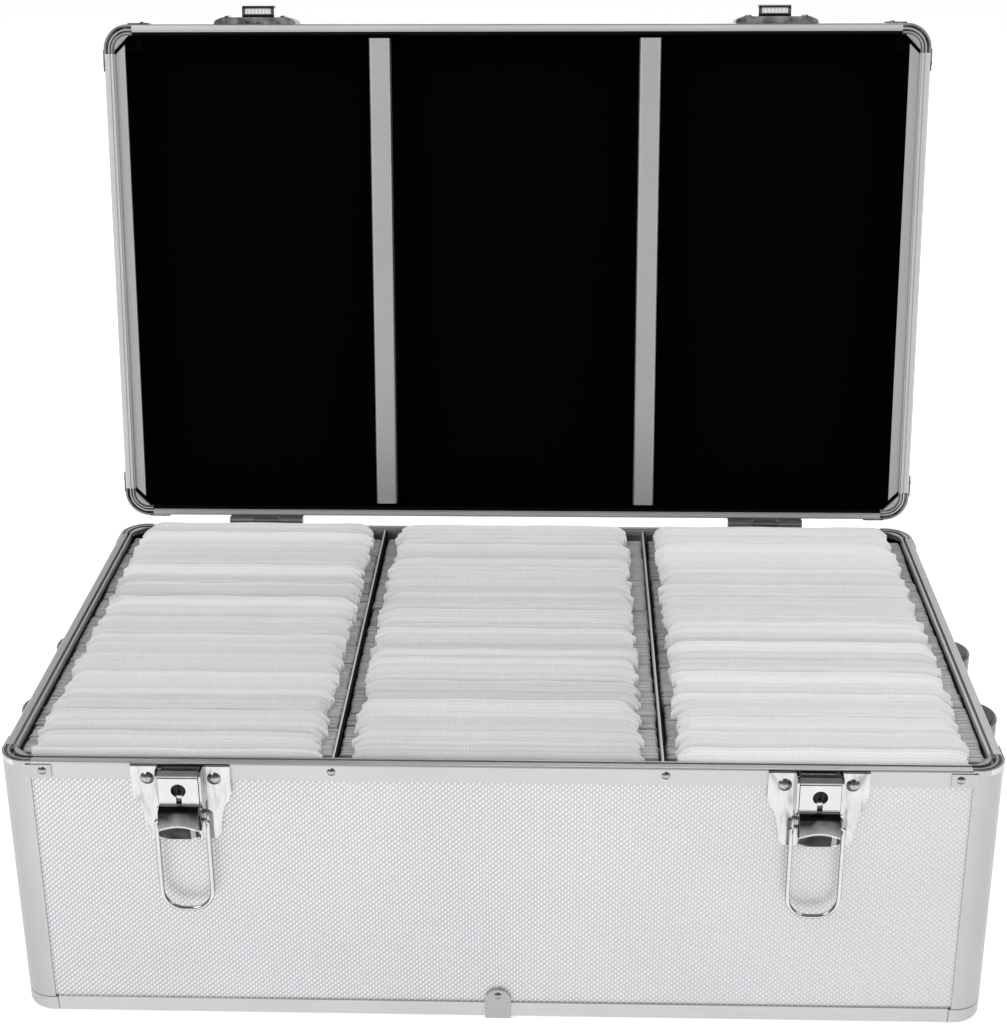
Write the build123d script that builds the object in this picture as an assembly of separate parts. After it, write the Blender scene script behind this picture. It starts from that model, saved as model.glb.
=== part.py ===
from build123d import *
import os
from math import asin, cos, sin, sqrt

# Case size. X runs along the front, Y to the back, Z up, and the origin is the centre of the underside.
WIDTH = 500.0
DEPTH = 306.0
BASE_HEIGHT = 150.0
LID_HEIGHT = 39.7
LID_GAP = 0.3
LID_OPEN_DEG = 98.8
HALF_W = WIDTH / 2
HALF_D = DEPTH / 2

# Boards and extruded profiles. A profile holds a board in a slot between two thin flanges.
FLANGE = 1.0
BOARD = 4.0
INNER = FLANGE + BOARD
WALL = INNER + FLANGE
SLOT_DEPTH = 7.0
CORNER_RADIUS = 15.0
CORNER_LEG = 17.0
CAP_LEG = 18.5
MOUTH_LEG = 17.5
EDGE_HEIGHT = 9.5
EDGE_FOOT = 12.0
EDGE_WEB = 6.0
EDGE_ROUND = 3.0
BAND = 9.0
MOUTH_THICK = 3.0
MOUTH_SLOT = 3.5
GROOVE = (4.4, 6.0)
GROOVE_DEPTH = 2.4
LIP = 7.2
TONGUE = (4.6, 5.6)
TONGUE_HEIGHT = 1.6
LID_LIP = 6.4
CHAMFER_SUM = 22.0
EAR_THICK = 0.8
EAR_REACH = 28.0
EAR_START = 15.0
EAR_RIVET = 23.5

# Inside of the base.
DIVIDER_X = 82.0
DIVIDER_T = 2.0
DIVIDER_TOP = 149.0
RAIL_W = 4.0
RAIL_T = 3.0
RAIL_TOP = 141.0
RAIL_HALF_Y = 138.0
HANGER_H = 5.5
ROW_HALF_Y = 144.5
ROW_BOTTOM = 10.0
HANGER_HALF_Y = 138.0
LINED_HALF_X = HALF_W - WALL
CLIP_X = -1.0
CLIP_HALF = 6.7
CLIP_TOP = 17.8
CLIP_RIVET_Z = 14.4

# Inside of the lid.
LINING_TOP = 12.0
CHANNEL_HALF = 6.5
CHANNEL_LEG = 8.0
MITRE_SUM = 24.5

# Front latches, measured from the latch's own centre line.
LATCH_X = 157.5
PLATE_T = 1.2
LEVER_HALF = 10.0
LEVER_PIVOT_Z = 146.2
LEVER_PIVOT_OUT = 4.4
LOOP_PIVOT_Z = 121.0
LOOP_PIVOT_OUT = 5.5
LOOP_REACH = 52.0
LOOP_HALF = 12.85
WIRE_R = 1.15
PIN_R = 1.5
PIVOT_PLAY = 0.05
LOCK_Z = 139.3
HOOK_HALF = 9.8
HOOK_FLOOR = 166.6

# Hinges on the back.
HINGE_X = 159.5
HINGE_W = 47.0
KNUCKLE_W = 15.5
KNUCKLE_R = 3.0
HINGE_OUT = 3.4
HINGE_UP = 1.0
HINGE_AXIS = Axis((0, HALF_D + HINGE_OUT, BASE_HEIGHT + HINGE_UP), (1, 0, 0))

# Carry handles on the two ends.
HANDLE_Y = 39.0
HANDLE_Z = 109.0
HANDLE_OUT = 8.5
BAIL_DROP = 30.0
GRIP_R = 6.5
LUG_HALF = 17.0
LUG_OUT = 19.5

nodes = {}


def box(x0, x1, y0, y1, z0, z1):
    """A block between two corners."""
    size = Box(x1 - x0, y1 - y0, z1 - z0)
    return Pos((x0 + x1) / 2, (y0 + y1) / 2, (z0 + z1) / 2) * size


def rod(radius, start, end):
    """A round bar between two points."""
    line = Vector(*end) - Vector(*start)
    plane = Plane(origin=start, z_dir=tuple(line))
    return extrude(plane * Circle(radius), amount=line.length)


def run_front(outline, outer, half):
    """An extrusion along the front, from an outline of (inward, up) points."""
    plane = Plane(origin=(-half, -outer, 0), x_dir=(0, 1, 0), z_dir=(1, 0, 0))
    return extrude(plane * make_face(outline), amount=2 * half)


def four_sides(outline, leg):
    """The same extrusion along the front, right, rear and left."""
    solids = []
    for turn in range(4):
        outer, half = (HALF_D, HALF_W - leg) if turn % 2 == 0 else (HALF_W, HALF_D - leg)
        solids.append(Rot(0, 0, 90 * turn) * run_front(outline, outer, half))
    return solids


def four_corners(solid):
    """A corner piece made at the front left corner, mirrored to all four corners."""
    placed = Pos(-HALF_W, -HALF_D, 0) * solid
    right = mirror(placed, about=Plane.YZ)
    return [placed, right, mirror(placed, about=Plane.XZ), mirror(right, about=Plane.XZ)]


def rounded_plan(inset, leg, z0, z1):
    """A square post at a corner, its outer edge rounded, drawn in from the outside by inset."""
    r = max(CORNER_RADIUS - inset, 0.5)
    mid = inset + r - r / sqrt(2)
    edges = [
        Line((inset + r, inset), (leg, inset)),
        Line((leg, inset), (leg, leg)),
        Line((leg, leg), (inset, leg)),
        Line((inset, leg), (inset, inset + r)),
        ThreePointArc((inset, inset + r), (mid, mid), (inset + r, inset)),
    ]
    return extrude(Pos(0, 0, z0) * make_face(edges), amount=z1 - z0)


def corner_band(outer, inner, leg, z0, z1):
    """A bent wall that follows a rounded corner."""
    return rounded_plan(outer, leg, z0, z1) - rounded_plan(inner, leg, z0, z1)


def tray_edge_outline():
    """Profile along the long outer edges: a slot up for the wall and a slot in for the board."""
    r = EDGE_ROUND
    mid = r - r / sqrt(2)
    return [
        Polyline(
            (r, 0),
            (EDGE_FOOT, 0),
            (EDGE_FOOT, FLANGE),
            (SLOT_DEPTH, FLANGE),
            (SLOT_DEPTH, INNER),
            (EDGE_FOOT, INNER),
            (EDGE_FOOT, WALL),
            (WALL, EDGE_WEB),
            (WALL, EDGE_HEIGHT),
            (INNER, EDGE_HEIGHT),
            (INNER, EDGE_WEB),
            (FLANGE, EDGE_WEB),
            (FLANGE, EDGE_HEIGHT),
            (0, EDGE_HEIGHT),
            (0, r),
        ),
        ThreePointArc((0, r), (mid, mid), (r, 0)),
    ]


def mouth_outline(height, is_lid):
    """Profile round the mouth: a band outside, and a groove or a tongue on top."""
    r = 1.2
    mid = r - r / sqrt(2)
    if is_lid:
        top = [
            (3.4, height),
            (3.4, height - 0.7),
            (TONGUE[0], height - 0.7),
            (TONGUE[0], height + TONGUE_HEIGHT),
            (TONGUE[1], height + TONGUE_HEIGHT),
            (TONGUE[1], height - 0.2),
            (LID_LIP, height - 0.2),
            (LID_LIP, height - MOUTH_THICK),
        ]
    else:
        top = [
            (GROOVE[0], height),
            (GROOVE[0], height - GROOVE_DEPTH),
            (GROOVE[1], height - GROOVE_DEPTH),
            (GROOVE[1], height),
            (LIP, height),
            (LIP, height - MOUTH_THICK),
        ]
    under = [
        (WALL, height - MOUTH_THICK),
        (WALL, height - BAND),
        (INNER, height - BAND),
        (INNER, height - MOUTH_SLOT),
        (FLANGE, height - MOUTH_SLOT),
        (FLANGE, height - BAND),
        (0, height - BAND),
        (0, height - r),
    ]
    return [
        Polyline((r, height), *top, *under),
        ThreePointArc((0, height - r), (mid, height - mid), (r, height)),
    ]


def mouth_corner(height, is_lid):
    """Chromed corner piece: grooved on top, cut straight across inside, with two riveted ears."""
    lip = LID_LIP if is_lid else LIP
    low = height - MOUTH_THICK
    ring = rounded_plan(0, MOUTH_LEG, low, height)
    cut = CHAMFER_SUM - lip
    opening = Polyline(
        (lip, cut),
        (cut, lip),
        (MOUTH_LEG, lip),
        (MOUTH_LEG, MOUTH_LEG),
        (lip, MOUTH_LEG),
        close=True,
    )
    ring -= extrude(Pos(0, 0, low) * make_face(opening), amount=MOUTH_THICK)
    if is_lid:
        ring -= corner_band(3.4, TONGUE[0], MOUTH_LEG, height - 0.7, height)
        ring += corner_band(TONGUE[0], TONGUE[1], MOUTH_LEG, height - 0.2, height + TONGUE_HEIGHT)
    else:
        ring -= corner_band(GROOVE[0], GROOVE[1], MOUTH_LEG, height - GROOVE_DEPTH, height)
    ear = box(EAR_START, EAR_REACH, -EAR_THICK, 0, height - BAND + 0.5, height - 1.3)
    other_ear = box(-EAR_THICK, 0, EAR_START, EAR_REACH, height - BAND + 0.5, height - 1.3)
    return ring + ear + other_ear


def tray(height, is_lid):
    """Boards, profiles and corners of one half of the case, standing with its mouth up."""
    wall_top = height - BAND
    tongue_top = height - MOUTH_SLOT
    edge = four_sides(tray_edge_outline(), CAP_LEG)
    mouth = four_sides(mouth_outline(height, is_lid), MOUTH_LEG)
    post = corner_band(0, WALL, CORNER_LEG, EDGE_HEIGHT, height - MOUTH_THICK)
    slot = CORNER_LEG - SLOT_DEPTH
    post -= box(slot, CORNER_LEG, FLANGE, INNER, EDGE_HEIGHT, height)
    post -= box(FLANGE, INNER, slot, CORNER_LEG, EDGE_HEIGHT, height)
    cap = rounded_plan(0, CAP_LEG, 0, EDGE_HEIGHT)
    rim = cap.edges().filter_by_position(Axis.Z, -0.01, 0.01)
    outer = [e for e in rim if min(e.center().X, e.center().Y) < CORNER_RADIUS / 2]
    cap = fillet(outer, EDGE_ROUND)
    cap -= box(WALL, CAP_LEG, WALL, CAP_LEG, EDGE_WEB, EDGE_HEIGHT)
    walls = []
    for turn in range(4):
        outer, side = (HALF_D, HALF_W) if turn % 2 == 0 else (HALF_W, HALF_D)
        y0, y1 = FLANGE - outer, INNER - outer
        reach, low, high = side - slot, side - CAP_LEG, side - MOUTH_LEG
        wall = box(-reach, reach, y0, y1, EDGE_HEIGHT, wall_top)
        wall += box(-low, low, y0, y1, EDGE_WEB, EDGE_HEIGHT)
        wall += box(-high, high, y0, y1, wall_top, tongue_top)
        walls.append(Rot(0, 0, 90 * turn) * wall)
    x, y = HALF_W - EDGE_FOOT, HALF_D - EDGE_FOOT
    board = box(-x, x, -y, y, 0, INNER)
    x, y = HALF_W - SLOT_DEPTH, HALF_D - SLOT_DEPTH
    board += box(-x, x, -y, y, FLANGE, INNER)
    for block in four_corners(box(0, CAP_LEG, 0, CAP_LEG, -1, INNER + 1)):
        board -= block
    lining = []
    for turn in range(4):
        outer, side = (HALF_D, HALF_W) if turn % 2 == 0 else (HALF_W, HALF_D)
        reach = side - CORNER_LEG
        sheet = box(-reach, reach, INNER - outer, WALL - outer, EDGE_HEIGHT, wall_top)
        lining.append(Rot(0, 0, 90 * turn) * sheet)
    return {
        "edge_profiles": edge,
        "mouth_profiles": mouth,
        "corner_profiles": four_corners(post),
        "corner_caps": four_corners(cap),
        "mouth_corners": four_corners(mouth_corner(height, is_lid)),
        "walls": walls,
        "board": board,
        "lining": lining,
    }


def rivet(x, z, out, radius, dome, shank_r, depth):
    """A rivet on the front face: a domed head, and a shank that goes back through the wall."""
    ball = (radius * radius + dome * dome) / (2 * dome)
    half_angle = asin(radius / ball) / 2
    mid = (ball * sin(half_angle), ball - dome - ball * cos(half_angle))
    outline = [
        ThreePointArc((0, -dome), mid, (radius, 0)),
        Polyline((radius, 0), (shank_r, 0), (shank_r, depth), (0, depth), (0, -dome)),
    ]
    return Pos(x, -HALF_D - out, z) * revolve(make_face(outline), axis=Axis.Y)


def drill(shapes, holes):
    """The shapes with every hole cut through them."""
    result = []
    for shape in shapes:
        bounds = shape.bounding_box()
        for hole in holes:
            near = hole.bounding_box()
            apart = (
                near.min.X > bounds.max.X
                or near.max.X < bounds.min.X
                or near.min.Y > bounds.max.Y
                or near.max.Y < bounds.min.Y
                or near.min.Z > bounds.max.Z
                or near.max.Z < bounds.min.Z
            )
            if not apart:
                shape = shape - hole
        result.append(shape)
    return result


def solids_of(shape):
    """Every separate solid in a shape or a list of shapes."""
    found = []
    for item in shape if isinstance(shape, (list, tuple)) else [shape]:
        found += list(item.solids())
    return found


def base_boards_and_profiles():
    """The lower half of the case, drilled for every rivet that goes through it."""
    base = tray(BASE_HEIGHT, False)
    holes = base_rivets()
    nodes["bottom_board"] = base["board"]
    names = ["front_panel", "right_panel", "rear_panel", "left_panel"]
    for name, wall in zip(names, drill(base["walls"], holes)):
        nodes[name] = wall
    nodes["bottom_edge_profiles"] = base["edge_profiles"]
    nodes["corner_profiles"] = base["corner_profiles"]
    nodes["bottom_corner_caps"] = base["corner_caps"]
    nodes["mouth_profiles"] = drill(base["mouth_profiles"], holes)
    nodes["mouth_corners"] = drill(base["mouth_corners"], holes)
    nodes["wall_lining"] = base["lining"]
    nodes["base_rivets"] = holes


def ear_rivets(height):
    """Rivets through the eight ears of the mouth corners, as seen with the mouth up."""
    found = []
    z = height - BAND / 2
    for turn, half in [(0, HALF_W), (1, HALF_D), (2, HALF_W), (3, HALF_D)]:
        shift = 0 if turn % 2 == 0 else HALF_W - HALF_D
        for side in (-1, 1):
            one = rivet(side * (half - EAR_RIVET), z, EAR_THICK, 2.2, 0.9, 1.2, EAR_THICK + INNER)
            found.append(Rot(0, 0, 90 * turn) * Pos(0, -shift, 0) * one)
    return found


def base_rivets():
    """Every rivet of the base: corner ears, dividers, latches, hinges, handles and the clip."""
    found = ear_rivets(BASE_HEIGHT)
    for side in (-1, 1):
        found.append(rivet(side * 82.5, 146.0, 0, 2.2, 1.0, 1.4, INNER))
        for x in (-16.7, 16.7):
            found.append(rivet(side * LATCH_X + x, 142.3, PLATE_T, 3.5, 1.6, 1.8, PLATE_T + INNER))
            for z in (127.0, 141.0):
                one = rivet(side * HINGE_X + x, z, PLATE_T, 2.6, 1.0, 1.6, PLATE_T + INNER)
                found.append(Rot(0, 0, 180) * one)
    found.append(rivet(CLIP_X, CLIP_RIVET_Z, 0.8, 2.0, 0.8, 1.2, 0.8 + INNER))
    return found


def inside_of_base():
    """Two dividers between the front and rear walls, and a ledge for the hangers on each wall."""
    y = HALF_D - WALL
    lip_y = HALF_D - LIP
    for name, side in (("divider_left", -1), ("divider_right", 1)):
        x0 = side * DIVIDER_X - DIVIDER_T / 2
        sheet = box(x0, x0 + DIVIDER_T, -y, y, WALL, BASE_HEIGHT - MOUTH_THICK)
        sheet += box(x0, x0 + DIVIDER_T, -lip_y, lip_y, BASE_HEIGHT - MOUTH_THICK, DIVIDER_TOP)
        nodes[name] = sheet
    edges = [-LINED_HALF_X, -DIVIDER_X + DIVIDER_T / 2, DIVIDER_X + DIVIDER_T / 2]
    rails = []
    for x in edges:
        for x0 in (x, -x - RAIL_W):
            rails.append(box(x0, x0 + RAIL_W, -RAIL_HALF_Y, RAIL_HALF_Y, RAIL_TOP - RAIL_T, RAIL_TOP))
    nodes["hanger_rails"] = rails


def sleeve_row(x0, x1, crests):
    """One row of hanging sleeves: a soft block whose top rises and falls in groups."""
    count = len(crests) - 1
    points = [(-ROW_HALF_Y + 2 * ROW_HALF_Y * i / count, z) for i, z in enumerate(crests)]
    outline = [
        Spline(*points),
        Polyline(points[-1], (ROW_HALF_Y, ROW_BOTTOM), (-ROW_HALF_Y, ROW_BOTTOM), points[0]),
    ]
    plane = Plane(origin=(x0, 0, 0), x_dir=(0, 1, 0), z_dir=(1, 0, 0))
    return extrude(plane * make_face(outline), amount=x1 - x0)


def contents():
    """Three rows of sleeves with the ends of their hanger bars, just above the ledges."""
    gap = LID_GAP
    inner = DIVIDER_X + DIVIDER_T / 2 + 0.4
    rows = {
        "left": (-HALF_W + LIP + 0.4, -inner, -232.4, -91.0, (151.2, 153.4, 152.0, 154.2, 153.0, 155.4, 154.0, 154.6)),
        "middle": (-inner + 2.8, inner - 2.8, -71.6, 69.4, (151.0, 152.6, 153.8, 152.6, 154.6, 153.6, 155.2, 154.4)),
        "right": (inner, HALF_W - LIP - 0.4, 91.0, 232.4, (151.4, 153.0, 151.8, 153.6, 154.8, 153.4, 155.0, 154.8)),
    }
    for name, (x0, x1, s0, s1, crests) in rows.items():
        low, high = RAIL_TOP + gap, RAIL_TOP + gap + HANGER_H
        nodes["sleeves_" + name] = sleeve_row(s0, s1, crests)
        ends = [(x0, s0), (s1, x1)]
        nodes["hangers_" + name] = [box(a, b, -HANGER_HALF_Y, HANGER_HALF_Y, low, high) for a, b in ends]


def bottom_clip():
    """Small clip over the front edge profile, its rounded top riveted to the panel."""
    y = -HALF_D
    clip = box(CLIP_X - CLIP_HALF, CLIP_X + CLIP_HALF, y - 0.8, y, 0.4, EDGE_HEIGHT)
    top = CLIP_TOP - CLIP_HALF
    upper = box(CLIP_X - CLIP_HALF, CLIP_X + CLIP_HALF, y - 0.8, y + FLANGE, EDGE_HEIGHT, top)
    upper += rod(CLIP_HALF, (CLIP_X, y - 0.8, top), (CLIP_X, y + FLANGE, top))
    upper &= box(CLIP_X - 9, CLIP_X + 9, y - 2, y + FLANGE, EDGE_HEIGHT, CLIP_TOP)
    nodes["bottom_clip"] = drill([clip + upper], nodes["base_rivets"])


def latch_plane(x):
    """A drawing plane seen from the right: first number out of the front face, second one up."""
    return Plane(origin=(x, -HALF_D, 0), x_dir=(0, -1, 0), z_dir=(-1, 0, 0))


def latch_plate():
    """Riveted base plate, stepped where the band ends, with two ears for the lever's pin."""
    outline = Polyline(
        (-24.8, 149.8),
        (24.8, 149.8),
        (24.8, 134.5),
        (23.8, 130.8),
        (21.2, 126.8),
        (20.0, 123),
        (18.4, 111),
        (16.2, 107.8),
        (-16.2, 107.8),
        (-18.4, 111),
        (-20.0, 123),
        (-21.2, 126.8),
        (-23.8, 130.8),
        (-24.8, 134.5),
        close=True,
    )
    face = Plane(origin=(0, -HALF_D, 0), x_dir=(1, 0, 0), z_dir=(0, -1, 0)) * make_face(outline)
    plate = extrude(face, amount=PLATE_T)
    back = extrude(face, amount=-FLANGE) & box(-30, 30, -200, 200, 100, BASE_HEIGHT - BAND)
    plate += back
    for side in (-1, 1):
        x0, x1 = sorted((side * (LEVER_HALF + 0.3), side * (LEVER_HALF + 1.4)))
        ear = box(x0, x1, -HALF_D - 8.0, -HALF_D - PLATE_T, 128, 149.4)
        front = ear.edges().filter_by(Axis.X).sort_by(Axis.Y)[:2]
        plate += fillet(front, 3.0)
    y = -HALF_D - LEVER_PIVOT_OUT
    plate -= rod(PIN_R, (-15, y, LEVER_PIVOT_Z), (15, y, LEVER_PIVOT_Z))
    return plate


def latch_lever():
    """Bent sheet lever with side flanges, a keyhole, a lock barrel and a rolled thumb tab."""
    path = FilletPolyline(
        (5.4, 149.2),
        (8.0, 147.0),
        (8.0, 131.2),
        (12.8, 129.4),
        (14.6, 121.6),
        (12.6, 114.4),
        (9.6, 114.8),
        radius=1.2,
    )
    half = LEVER_HALF
    sheet = extrude(latch_plane(half) * trace(path, line_width=1.2), amount=2 * half)
    side = Polyline(
        (2, 146.6),
        (3.8, 149.2),
        (5.4, 149.2),
        (8.0, 147.0),
        (8.0, 116.4),
        (3.4, 116.4),
        (2, 118),
        close=True,
    )
    for x in (half, -half + 1.2):
        sheet += extrude(latch_plane(x) * make_face(side), amount=1.2)
    y = -HALF_D
    sheet += rod(5.2, (0, y - 4.0, LOCK_Z), (0, y - 7.2, LOCK_Z))
    sheet -= rod(3.75, (0, y, LOCK_Z), (0, y - 9, LOCK_Z))
    sheet -= box(-1.4, 1.4, y - 9, y - 6.8, LOCK_Z - 7.4, LOCK_Z)
    pin_y = y - LEVER_PIVOT_OUT
    loop_y = y - LOOP_PIVOT_OUT
    sheet -= rod(PIN_R + PIVOT_PLAY, (-15, pin_y, LEVER_PIVOT_Z), (15, pin_y, LEVER_PIVOT_Z))
    sheet -= rod(WIRE_R + PIVOT_PLAY, (-15, loop_y, LOOP_PIVOT_Z), (15, loop_y, LOOP_PIVOT_Z))
    return sheet


def lock_cam():
    """Lock plug that turns in the lever's barrel, with its key slot and tongue."""
    y = -HALF_D
    plug = rod(3.7, (0, y - 3.4, LOCK_Z), (0, y - 6.4, LOCK_Z))
    plug -= box(-0.6, 0.6, y - 7, y - 5.0, LOCK_Z - 2.6, LOCK_Z + 2.6)
    return plug + box(-1.6, 1.6, y - 3.4, y - 2.6, LOCK_Z - 6.5, LOCK_Z + 3)


def latch_loop():
    """Wire loop hung from the lever's flanges."""
    y = -HALF_D - LOOP_PIVOT_OUT
    low = LOOP_PIVOT_Z - LOOP_REACH
    plane = Plane(origin=(0, y, 0), x_dir=(1, 0, 0), z_dir=(0, -1, 0))
    points = [
        (-8.2, LOOP_PIVOT_Z),
        (-LOOP_HALF, LOOP_PIVOT_Z),
        (-LOOP_HALF, low),
        (LOOP_HALF, low),
        (LOOP_HALF, LOOP_PIVOT_Z),
        (8.2, LOOP_PIVOT_Z),
    ]
    path = plane * FilletPolyline(*points, radius=[1.9, 11.0, 11.0, 1.9])
    start = Plane(origin=(-8.2, y, LOOP_PIVOT_Z), z_dir=(-1, 0, 0))
    return sweep(start * Circle(WIRE_R), path=path)


def latches():
    """The two front latches, alike, each with its pin, lever, lock and loop."""
    y = -HALF_D - LEVER_PIVOT_OUT
    ear = LEVER_HALF + 1.4
    pieces = {
        "latch_plate": latch_plate(),
        "latch_pin": rod(PIN_R, (-ear, y, LEVER_PIVOT_Z), (ear, y, LEVER_PIVOT_Z)),
        "latch_lever": latch_lever(),
        "lock_cam": lock_cam(),
        "latch_loop": latch_loop(),
    }
    for name, side in (("left", -1), ("right", 1)):
        for piece, solid in pieces.items():
            placed = Pos(side * LATCH_X, 0, 0) * solid
            if piece == "latch_plate":
                placed = drill([placed], nodes["base_rivets"])
            nodes[piece + "_" + name] = placed


def hinge_leaf(x, low, high, tab, tabs, bore):
    """A leaf on the back face, its tabs rolled into knuckles round the hinge pin."""
    y = HALF_D
    pin_y, pin_z = y + HINGE_OUT, BASE_HEIGHT + HINGE_UP
    leaf = box(-HINGE_W / 2, HINGE_W / 2, y, y + PLATE_T, low, high)
    for x0, x1 in tabs:
        leaf += box(x0, x1, y, y + PLATE_T, min(tab, pin_z), max(tab, pin_z))
        leaf += rod(KNUCKLE_R, (x0, pin_y, pin_z), (x1, pin_y, pin_z))
    leaf -= rod(bore, (-HINGE_W, pin_y, pin_z), (HINGE_W, pin_y, pin_z))
    return Pos(x, 0, 0) * leaf


def hinges():
    """Two riveted hinges. Each upper leaf has a stop nose that meets the lower leaf when open."""
    half = KNUCKLE_W / 2
    outer = [(-HINGE_W / 2, -half - 0.3), (half + 0.3, HINGE_W / 2)]
    pin_y, pin_z = HALF_D + HINGE_OUT, BASE_HEIGHT + HINGE_UP
    lower, upper, pins = [], [], []
    for x in (-HINGE_X, HINGE_X):
        leaf = hinge_leaf(x, 121, 147.5, 147.5, outer, PIN_R)
        under = box(x - HINGE_W / 2, x + HINGE_W / 2, HALF_D - FLANGE, HALF_D, 121, BASE_HEIGHT - BAND)
        lower.append(leaf + under)
        ends = [(x + s * HINGE_W / 2, pin_y, pin_z) for s in (-1, 1)]
        pins.append(rod(PIN_R, *ends))
        leaf = hinge_leaf(x, 154.6, 180, 154.6, [(-half, half)], PIN_R + PIVOT_PLAY)
        top = BASE_HEIGHT + LID_GAP + BAND
        leaf += box(x - HINGE_W / 2, x + HINGE_W / 2, HALF_D - FLANGE, HALF_D, top, 180)
        nose = box(x - half, x + half, pin_y - 2.15, pin_y - 0.4, pin_z - 5.0, pin_z - 2.0)
        upper.append(leaf + nose.rotate(HINGE_AXIS, LID_OPEN_DEG))
    nodes["hinge_lower_leaves"] = drill(lower, nodes["base_rivets"])
    nodes["hinge_pins"] = pins
    nodes["hinge_upper_leaves"] = [leaf.rotate(HINGE_AXIS, -LID_OPEN_DEG) for leaf in drill(upper, lid_rivets())]


def end_frame(side):
    """Moves a piece made on the front to the middle of the right end, or of the left end."""
    return Rot(0, 0, 90 * side) * Pos(0, HALF_D - HALF_W, 0)


def carry_handles():
    """On each end, two domed brackets and a bail with a moulded grip that swings out."""
    face = -HALF_D
    y = face - HANDLE_OUT
    top = HANDLE_Z + 12
    brackets = []
    for side in (-1, 1):
        x = side * HANDLE_Y
        dome = Plane(origin=(x, face, HANDLE_Z - 12), z_dir=(0, 0, 1)) * Ellipse(LUG_HALF, LUG_OUT)
        lug = extrude(dome, amount=24)
        lug = fillet(lug.edges().filter_by(GeomType.ELLIPSE), 2.0)
        lug &= box(x - 30, x + 30, face - 30, face + FLANGE, HANDLE_Z - 12, top)
        lug -= rod(2.55, (side * (HANDLE_Y - LUG_HALF), y, HANDLE_Z), (side * HANDLE_Y, y, HANDLE_Z))
        brackets.append(lug)
    arm = HANDLE_Y - LUG_HALF - 3.0
    low = HANDLE_Z - BAIL_DROP
    end = HANDLE_Y - 2
    plane = Plane(origin=(0, y, 0), x_dir=(1, 0, 0), z_dir=(0, -1, 0))
    path = plane * FilletPolyline(
        (-end, HANDLE_Z), (-arm, HANDLE_Z), (-arm, low), (arm, low), (arm, HANDLE_Z), (end, HANDLE_Z), radius=4.0
    )
    bail = sweep(Plane(origin=(-end, y, HANDLE_Z), z_dir=(1, 0, 0)) * Circle(2.5), path=path)
    grip_half = arm - 4.2
    grip = rod(GRIP_R, (-grip_half, y, low), (grip_half, y, low))
    grip = fillet(grip.edges().filter_by(GeomType.CIRCLE), 2.0)
    grip -= rod(2.5, (-arm, y, low), (arm, y, low))
    for name, side in (("left", -1), ("right", 1)):
        turn = end_frame(side)
        nodes["handle_brackets_" + name] = [turn * lug for lug in brackets]
        nodes["handle_bail_" + name] = turn * bail
        nodes["handle_grip_" + name] = turn * grip


def catch():
    """Cast catch on the lid's front, rounded at its ends, with a turned-up hook for the loop."""
    low = BASE_HEIGHT + LID_GAP + 1.5
    plane = Plane(origin=(0, -HALF_D, low), x_dir=(1, 0, 0), z_dir=(0, 0, 1))
    rim = FilletPolyline((-25, 0), (-24.4, -2.2), (-20, -4), (20, -4), (24.4, -2.2), (25, 0), radius=2.0)
    dish = extrude(plane * make_face(rim + Line((25, 0), (-25, 0))), amount=22)
    hook = FilletPolyline((3.0, HOOK_FLOOR), (10.4, HOOK_FLOOR), (10.4, 174.2), radius=1.8)
    return dish + extrude(latch_plane(HOOK_HALF) * trace(hook, line_width=1.4), amount=2 * HOOK_HALF)


def lid_rivets():
    """Every rivet of the lid, with the lid shut."""
    found = [lid_shut(one) for one in ear_rivets(LID_HEIGHT)]
    for side in (-1, 1):
        for x in (-17, 17):
            found.append(rivet(side * LATCH_X + x, 156.0, 4.0, 2.8, 1.2, 1.6, 4.0 + INNER))
            for z in (158.0, 172.0):
                one = rivet(side * HINGE_X + x, z, PLATE_T, 2.6, 1.0, 1.6, PLATE_T + INNER)
                found.append(Rot(0, 0, 180) * one)
    return found


def lid_shut(shape):
    """Turns a piece that was made with the lid's mouth up over onto the base."""
    top = BASE_HEIGHT + LID_GAP + LID_HEIGHT
    return Pos(0, 0, top) * mirror(shape, about=Plane.XY)


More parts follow.
